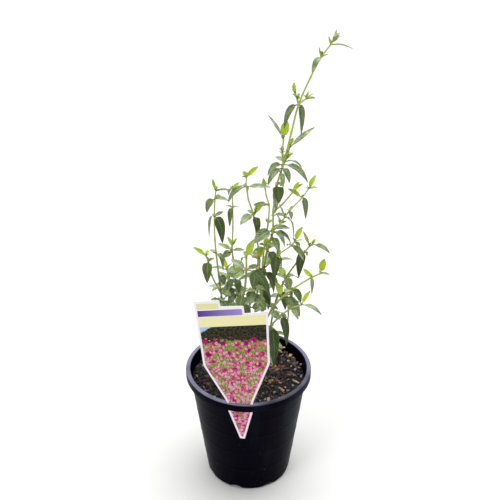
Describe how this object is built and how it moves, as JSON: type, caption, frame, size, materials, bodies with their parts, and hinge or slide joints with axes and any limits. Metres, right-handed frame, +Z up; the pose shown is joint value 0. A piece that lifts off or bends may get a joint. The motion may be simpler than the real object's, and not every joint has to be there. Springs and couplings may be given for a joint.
{
  "type": "potted agastache",
  "caption": "Young leafy many-stemmed herb plant in a round tapered plastic nursery pot, with a pointed plastic plant label standing in a slot of the rim.",
  "frame": {"origin": "centre of the pot's flat underside, on the surface it stands on", "axes": "+Z up along the pot's axis; -Y towards the side that carries the plant label; +X to the right when the label is seen from the front"},
  "size_m": [0.1641, 0.1404, 0.5141],
  "materials": {
    "pot_plastic": "satin",
    "potting_mix": "matte",
    "label_plastic": "satin",
    "leaf": "matte"
  },
  "bodies": {
    "root": {"pot": "pot_plastic", "potting_mix": "potting_mix", "plant_label": "label_plastic", "tall_stem": "leaf", "slender_stem": "leaf", "left_stem": "leaf", "mid_left_stem": "leaf", "mid_stem": "leaf", "front_stem": "leaf", "right_low_stem": "leaf", "right_stem": "leaf", "right_front_stem": "leaf", "back_left_stem": "leaf", "back_right_stem": "leaf"}
  },
  "joints": []
}
